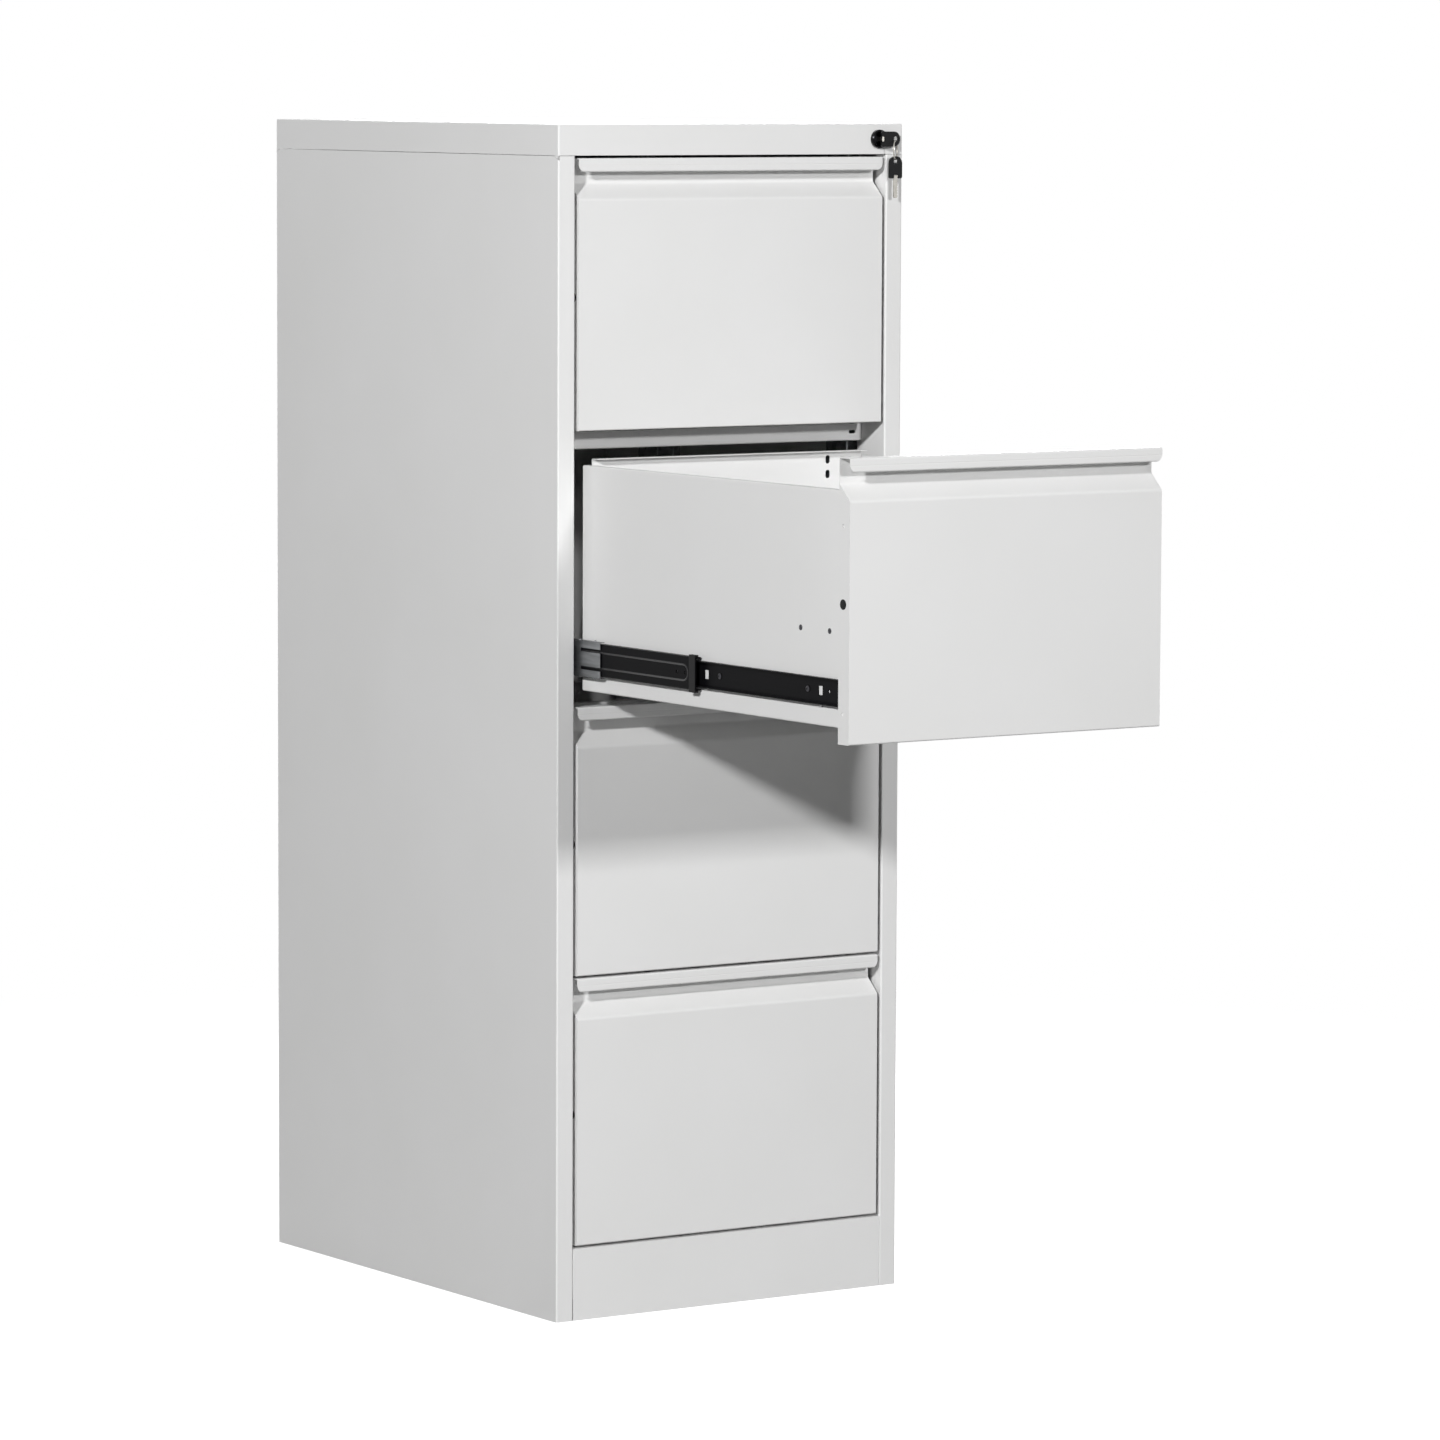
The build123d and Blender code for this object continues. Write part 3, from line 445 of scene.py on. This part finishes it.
driven = add(heads, "GeometryNodeMeshBoolean", {
    "Mesh 1": domed.outputs[0], "Mesh 2": cutter.outputs[0], "Self Intersection": True,
}, operation="DIFFERENCE", solver="EXACT")
has_recess = add(heads, "FunctionNodeCompare", {
    0: given["Recess Length"], 1: 0.0,
}, operation="GREATER_THAN")
finished = add(heads, "GeometryNodeSwitch", {
    "Switch": has_recess.outputs[0], "False": domed.outputs[0], "True": driven.outputs[0],
})

# The shank under the head, and the whole fastener on each of its seats, facing outwards and driven
# to an angle of its own.
tip = add(heads, "ShaderNodeMath", {0: 0.0, 1: given["Shank Length"]}, operation="SUBTRACT")
shank = round_bar(heads, given["Shank Radius"], tip.outputs[0], 0.0, 10, 1)[0]
whole = add(heads, "GeometryNodeJoinGeometry")
heads.links.new(finished.outputs[0], whole.inputs[0])
heads.links.new(shank, whole.inputs[0])
outward = add(heads, "GeometryNodeInputNamedAttribute", {
    "Name": "outward",
}, data_type="FLOAT_VECTOR")
facing = add(heads, "FunctionNodeAlignRotationToVector", {"Vector": outward.outputs[0]}, axis="Z")
spin = add(heads, "FunctionNodeRandomValue", {3: math.pi, "Seed": 7}, data_type="FLOAT")
driven_to = add(heads, "FunctionNodeAxisAngleToRotation", {
    "Axis": (0, 0, 1), "Angle": spin.outputs[1],
})
turned_to = add(heads, "FunctionNodeRotateRotation", {
    "Rotation": facing.outputs[0], "Rotate By": driven_to.outputs[0],
}, rotation_space="LOCAL")
placed = add(heads, "GeometryNodeInstanceOnPoints", {
    "Points": given["Seats"], "Instance": whole.outputs[0], "Rotation": turned_to.outputs[0],
})
made_real = add(heads, "GeometryNodeRealizeInstances", {"Geometry": placed.outputs[0]})
coloured = add(heads, "GeometryNodeSetMaterial", {
    "Geometry": made_real.outputs[0], "Material": given["Finish"],
})
add(heads, "NodeGroupOutput", {"Pieces": coloured.outputs[0]})


def set_fasteners(name, seats, sizes, finish, body, slot, node):
    """Put one kind of fastener on its seats, each a point with the way that its head faces."""
    seat_mesh = bpy.data.meshes.new(name + "_seats")
    seat_mesh.from_pydata([seat for seat, way in seats], [], [])
    facings = seat_mesh.attributes.new("outward", "FLOAT_VECTOR", "POINT")
    for datum, (seat, way) in zip(facings.data, seats):
        datum.vector = way
    holder = bpy.data.objects.new(name + "_seats", seat_mesh)
    bpy.context.scene.collection.objects.link(holder)
    modifier = holder.modifiers.new("heads", "NODES")
    modifier.node_group = heads
    for item in heads.interface.items_tree:
        if item.name in sizes:
            modifier[item.identifier] = sizes[item.name]
        elif item.name == "Finish":
            modifier[item.identifier] = finish
    evaluated = holder.evaluated_get(bpy.context.evaluated_depsgraph_get())
    mesh = bpy.data.meshes.new_from_object(evaluated)
    mesh.name = name
    bpy.data.objects.remove(holder)
    finish_piece(name, mesh, finish, body, slot, node)


# Black-passivated zinc plate: dark grey metal, a little cloudy from the bath.
black_zinc, tree, shader, place = new_material("zinc_plated_steel_black_passivated", 0.36, 1.0)
bath = add(tree, "ShaderNodeTexNoise", {"Vector": place, "Scale": per_metre(3), "Detail": 3.0})
shade = add(tree, "ShaderNodeMix", {
    0: bath.outputs[0], 6: linear("#3A3A3D"), 7: linear("#56565A"),
}, data_type="RGBA")
tree.links.new(shade.outputs[2], shader.inputs["Base Color"])
gloss = add(tree, "ShaderNodeMapRange", {"Value": bath.outputs[0], "To Min": 0.28, "To Max": 0.46})
tree.links.new(gloss.outputs[0], shader.inputs["Roughness"])

# Nitrile rubber: dull black, with the greyish bloom that comes out of it with age.
rubber, tree, shader, place = new_material("nitrile_rubber_black", 0.62)
shader.inputs["Specular IOR Level"].default_value = 0.2
bloom = add(tree, "ShaderNodeTexNoise", {"Vector": place, "Scale": per_metre(1.6), "Detail": 3.0})
shade = add(tree, "ShaderNodeMix", {
    0: bloom.outputs[0], 6: linear("#0C0C0C"), 7: linear("#1A1A1A"),
}, data_type="RGBA")
tree.links.new(shade.outputs[2], shader.inputs["Base Color"])
gloss = add(tree, "ShaderNodeMapRange", {"Value": bloom.outputs[0], "To Min": 0.52, "To Max": 0.74})
tree.links.new(gloss.outputs[0], shader.inputs["Roughness"])

screw_sizes = {
    "Head Radius": 0.0032, "Rim Height": 0.0008, "Dome": 0.0010, "Recess Length": 0.0034,
    "Recess Width": 0.0008, "Recess Depth": 0.0010, "Shank Radius": 0.0016, "Shank Length": 0.0018,
}
rivet_sizes = {
    "Head Radius": 0.0031, "Rim Height": 0.0003, "Dome": 0.0009, "Dimple Radius": 0.0012,
    "Dimple Depth": 0.0008, "Shank Radius": 0.0015, "Shank Length": 0.0015,
}
button_sizes = {
    "Head Radius": 0.0055, "Rim Height": 0.0003, "Dome": 0.0005, "Shank Radius": 0.0044,
    "Shank Length": 0.0009,
}

# The seats are read from the CAD fasteners: a rivet is the lower kind, and a screw is as long as it
# is high where it is seen along its axis.
screw_head = 0.0018
rivet_head = 0.001
button_head = 0.0008
tallest_rivet = 0.0055
same_size = 0.0001
for number in drawers:
    screw_seats, rivet_seats = [], []
    for solid in solids_of(f"drawer_{number}_screws"):
        corners = [vert.co.copy() for vert in solid.verts]
        solid.free()
        low, high = [Vector(end(values) for values in zip(*corners)) for end in (min, max)]
        middle = (low + high) / 2
        length, tall = high.y - low.y, high.z - low.z
        if tall < tallest_rivet:
            rivet_seats.append(((low.x + rivet_head, middle.y, middle.z), (-1, 0, 0)))
        elif abs(length - tall) < same_size:
            side = math.copysign(1, middle.x)
            seat_x = side * (max(abs(low.x), abs(high.x)) - screw_head)
            screw_seats.append(((seat_x, middle.y, middle.z), (side, 0, 0)))
        else:
            screw_seats.append(((middle.x, high.y - screw_head, middle.z), (0, 1, 0)))
    low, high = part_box(f"drawer_{number}_bumpers")
    button_y, button_z = (low.y + high.y) / 2, (low.z + high.z) / 2
    button_seats = [
        ((low.x + button_head, button_y, button_z), (-1, 0, 0)),
        ((high.x - button_head, button_y, button_z), (1, 0, 0)),
    ]
    body = f"drawer_{number}"
    for kind, seats, sizes, finish, slot, node in (
        ("screw_heads", screw_seats, screw_sizes, black_zinc, "black_zinc", f"{body}_screws"),
        ("blind_rivets", rivet_seats, rivet_sizes, black_zinc, "black_zinc", f"{body}_screws"),
        ("buttons", button_seats, button_sizes, rubber, "black_rubber", f"{body}_bumpers"),
    ):
        set_fasteners(f"{body}_{kind}", seats, sizes, finish, body, slot, node)


# Ball slides: three steel channels a side that run in one another, rolled from strip and coated
# black by electro-dip.
# Electro-dip coat: thin, smooth and deep black. The rolls left draw lines of 0.2 mm along it, drawn
# at 0.8 mm so that they show as a faint streak in the gloss.
black_coat, tree, shader, place = new_material("electro_dip_coat_black", 0.34)
# Its specular level is turned far down. This is painted shade for the dark surroundings that the flat
# web would mirror, in place of the white all round.
shader.inputs["Specular IOR Level"].default_value = 0.04
along = add(tree, "ShaderNodeMapping", {"Vector": place, "Scale": (1.0, 0.02, 1.0)})
lines = add(tree, "ShaderNodeTexNoise", {
    "Vector": along.outputs[0], "Scale": per_metre(0.8), "Detail": 2.0,
})
shade = add(tree, "ShaderNodeMix", {
    0: lines.outputs[0], 6: linear("#08080A"), 7: linear("#141416"),
}, data_type="RGBA")
tree.links.new(shade.outputs[2], shader.inputs["Base Color"])
gloss = add(tree, "ShaderNodeMapRange", {"Value": lines.outputs[0], "To Min": 0.26, "To Max": 0.42})
tree.links.new(gloss.outputs[0], shader.inputs["Roughness"])
for number in drawers:
    for piece in ("slide_inner", "slide_middle", "slide_outer"):
        dress(black_coat, f"drawer_{number}_{piece}")


# Ball cages: galvanised strip, bent to a channel with the balls caught along its two edges. They
# travel half as far as the member they carry, so an open drawer's reach out of the cabinet.
# Greased galvanised strip: grey metal, dulled and darkened in long smears of about 5 mm.
cage_strip, tree, shader, place = new_material("galvanised_strip_greased", 0.40, 1.0)
along = add(tree, "ShaderNodeMapping", {"Vector": place, "Scale": (1.0, 0.12, 1.0)})
smear = add(tree, "ShaderNodeTexNoise", {
    "Vector": along.outputs[0], "Scale": per_metre(5), "Detail": 4.0,
})
shade = add(tree, "ShaderNodeMix", {
    0: smear.outputs[0], 6: linear("#5C5D5F"), 7: linear("#A4A6A8"),
}, data_type="RGBA")
tree.links.new(shade.outputs[2], shader.inputs["Base Color"])
gloss = add(tree, "ShaderNodeMapRange", {"Value": smear.outputs[0], "To Min": 0.30, "To Max": 0.52})
tree.links.new(gloss.outputs[0], shader.inputs["Roughness"])
for number in drawers:
    dress(cage_strip, f"drawer_{number}_cages_outer", f"drawer_{number}_cages_inner")


# Front ends of the middle members: a collar of black acetal is pressed over each, which guides it
# in the outer member. Behind it a long low rib is swaged round the web, to stiffen it.
def extruded(name, outline, low_y, high_y):
    """A closed bar along Y with this outline of (x, z) points."""
    solid = bmesh.new()
    ends = [[solid.verts.new((x, y, z)) for x, z in outline] for y in (low_y, high_y)]
    solid.faces.new(ends[0])
    solid.faces.new(ends[1][::-1])
    for index in range(len(outline)):
        after = (index + 1) % len(outline)
        solid.faces.new((ends[0][index], ends[1][index], ends[1][after], ends[0][after]))
    bmesh.ops.recalc_face_normals(solid, faces=solid.faces)
    mesh = bpy.data.meshes.new(name)
    solid.to_mesh(mesh)
    solid.free()
    return mesh


# Electro-dip coat on the rib, at the full specular level of the real coat, so that the rib catches
# the key lamp as a highlight. The web is the same coat, but its level is turned down as painted
# shade.
rib_coat = black_coat.copy()
rib_coat.name = "electro_dip_coat_black_full_specular_rib"
rib_coat.node_tree.nodes["Principled BSDF"].inputs["Specular IOR Level"].default_value = 0.5

collar_length = 0.012
collar_wall = 0.001
collar_rise = 0.0024
collar_reach = 0.0038
collar_fit = 0.00002
collar_rounding = 0.0004
rib_radius = 0.0018
rib_sunk = 0.0012
rib_depth = 0.0008
rib_height = 0.017
rib_setback = 0.024
rib_end_steps = 8
for number in drawers:
    low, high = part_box(f"drawer_{number}_slide_middle")
    middle_z = (low.z + high.z) / 2
    web = high.x
    outer_z = (high.z - low.z) / 2 + collar_rise
    inner_z = (high.z - low.z) / 2 + collar_fit
    body = f"drawer_{number}_middle_members"
    for side, side_name in ((-1, "left"), (1, "right")):
        outline = [
            (web + collar_wall, -outer_z), (web + collar_wall, outer_z),
            (web - collar_reach, outer_z), (web - collar_reach, inner_z),
            (web + collar_fit, inner_z), (web + collar_fit, -inner_z),
            (web - collar_reach, -inner_z), (web - collar_reach, -outer_z),
        ]
        outline = [(side * x, middle_z + z) for x, z in outline]
        collar_name = f"{body}_{side_name}_end_block"
        collar_mesh = extruded(collar_name, outline, low.y, low.y + collar_length)
        finish_piece(
            collar_name, collar_mesh, acetal, body, "black_plastic", rounding=collar_rounding,
        )

        rib_places = []
        for end_y, way in ((low.y + rib_setback, 1), (high.y - rib_setback, -1)):
            for step in range(rib_end_steps + 1):
                angle = math.pi * step / rib_end_steps
                rib_places.append((
                    side * (web - rib_sunk),
                    end_y - way * math.sin(angle) * rib_height / 2,
                    middle_z + way * math.cos(angle) * rib_height / 2,
                ))
        rib_name = f"{body}_{side_name}_rib"
        rib_mesh = wire(rib_name, rib_places, rib_radius, 1, closed=True)
        for vert in rib_mesh.vertices:
            vert.co.x = side * max(side * vert.co.x, web - rib_depth)
        finish_piece(rib_name, rib_mesh, rib_coat, body, "black_slide")


# Studio: a pale floor with white all round, as in the photograph. A small lamp high on the left
# throws the open drawer's shadow, one far in front lights the fronts, and a broad one the back.
def in_view(tree):
    """1 for rays that the camera sees, also mirrored or through glass, and 0 for other light."""
    ray = add(tree, "ShaderNodeLightPath").outputs
    mirrored = add(tree, "ShaderNodeMath", {
        0: ray["Is Camera Ray"], 1: ray["Is Glossy Ray"],
    }, operation="MAXIMUM")
    through_too = add(tree, "ShaderNodeMath", {
        0: mirrored.outputs[0], 1: ray["Is Transmission Ray"],
    }, operation="MAXIMUM")
    return through_too.outputs[0]


# Matt white paper: pale where it is seen, fading to full white away from the object, and darker for
# the light that it throws back, so that it doesn't fill the shadows under the drawers.
floor_half = 9
floor_mesh = bpy.data.meshes.new("floor")
floor_mesh.from_pydata([
    (-floor_half, -floor_half, 0), (floor_half, -floor_half, 0),
    (floor_half, floor_half, 0), (-floor_half, floor_half, 0),
], [], [(0, 1, 2, 3)])
floor = bpy.data.objects.new("floor", floor_mesh)
bpy.context.scene.collection.objects.link(floor)
paper = bpy.data.materials.new("matt_paper_white")
paper.use_nodes = True
tree = paper.node_tree
shader = tree.nodes["Principled BSDF"]
shader.inputs["Roughness"].default_value = 0.9
seen = in_view(tree)
shade = add(tree, "ShaderNodeMix", {
    0: seen, 6: linear("#5A5A5A"), 7: linear("#C8C8C8"),
}, data_type="RGBA")
tree.links.new(shade.outputs[2], shader.inputs["Base Color"])
glow = add(tree, "ShaderNodeEmission", {"Color": (1, 1, 1, 1), "Strength": 0.85})
no_glow = add(tree, "ShaderNodeEmission", {"Strength": 0.0})
glow_seen = add(tree, "ShaderNodeMixShader", {
    0: seen, 1: no_glow.outputs[0], 2: glow.outputs[0],
})
near = add(tree, "ShaderNodeAddShader", {0: shader.outputs[0], 1: glow_seen.outputs[0]})
white = add(tree, "ShaderNodeEmission", {"Color": (1, 1, 1, 1), "Strength": 1.0})
place = add(tree, "ShaderNodeTexCoord").outputs["Object"]
reach = add(tree, "ShaderNodeVectorMath", {0: place}, operation="LENGTH")
fade = add(tree, "ShaderNodeMapRange", {
    "Value": reach.outputs["Value"], "From Min": 1.2, "From Max": 2.4,
}, interpolation_type="SMOOTHSTEP")
fade_seen = add(tree, "ShaderNodeMath", {0: fade.outputs[0], 1: seen}, operation="MULTIPLY")
ground = add(tree, "ShaderNodeMixShader", {
    0: fade_seen.outputs[0], 1: near.outputs[0], 2: white.outputs[0],
})
tree.links.new(ground.outputs[0], tree.nodes["Material Output"].inputs["Surface"])
floor_mesh.materials.append(paper)

# White all round where it is seen or mirrored, which lights the object itself only faintly.
world = bpy.data.worlds.new("studio")
bpy.context.scene.world = world
world.use_nodes = True
tree = world.node_tree
strength = add(tree, "ShaderNodeMapRange", {
    "Value": in_view(tree), "To Min": 0.035, "To Max": 1.0,
})
background = tree.nodes["Background"]
background.inputs["Color"].default_value = (1, 1, 1, 1)
tree.links.new(strength.outputs[0], background.inputs["Strength"])


def lamp(name, stand, aim, size, watts):
    """A square lamp that stands in one place and is turned to another."""
    light = bpy.data.lights.new(name, "AREA")
    light.size = size
    light.energy = watts
    holder = bpy.data.objects.new(name, light)
    holder.location = stand
    holder.rotation_euler = (Vector(stand) - Vector(aim)).to_track_quat("Z", "Y").to_euler()
    bpy.context.scene.collection.objects.link(holder)


cabinet_middle = (0, -0.3, 0.75)
lamp("key_lamp", stand=(-4.4, -3.2, 2.85), aim=cabinet_middle, size=0.32, watts=232)
lamp("front_lamp", stand=(0.55, -8.84, 3.27), aim=cabinet_middle, size=0.60, watts=290)
lamp("back_lamp", stand=(2.1, 2.6, 1.6), aim=(0, 0.3, 0.70), size=1.6, watts=60)

# The camera stands where the photograph's did, worked out from eleven corners of the cabinet.
camera_data = bpy.data.cameras.new("camera")
camera_data.lens = 170.47
camera_data.sensor_width = 36.0
camera = bpy.data.objects.new("camera", camera_data)
bpy.context.scene.collection.objects.link(camera)
turn = math.radians(33.5577)
tilt = math.radians(5.5332)
roll = math.radians(0.2359)
distance = 8.024
looked_at = Vector((0.1912, 0.0, 0.628))
view_line = Vector((
    math.sin(turn) * math.cos(tilt), math.cos(turn) * math.cos(tilt), -math.sin(tilt),
))
right = Vector((math.cos(turn), -math.sin(turn), 0.0))
upward = right.cross(view_line)
rolled_right = right * math.cos(roll) + upward * math.sin(roll)
rolled_up = upward * math.cos(roll) - right * math.sin(roll)
camera.matrix_world = Matrix((rolled_right, rolled_up, -view_line)).transposed().to_4x4()
camera.location = looked_at - view_line * distance
bpy.context.scene.camera = camera
bpy.context.scene.view_settings.view_transform = "Standard"
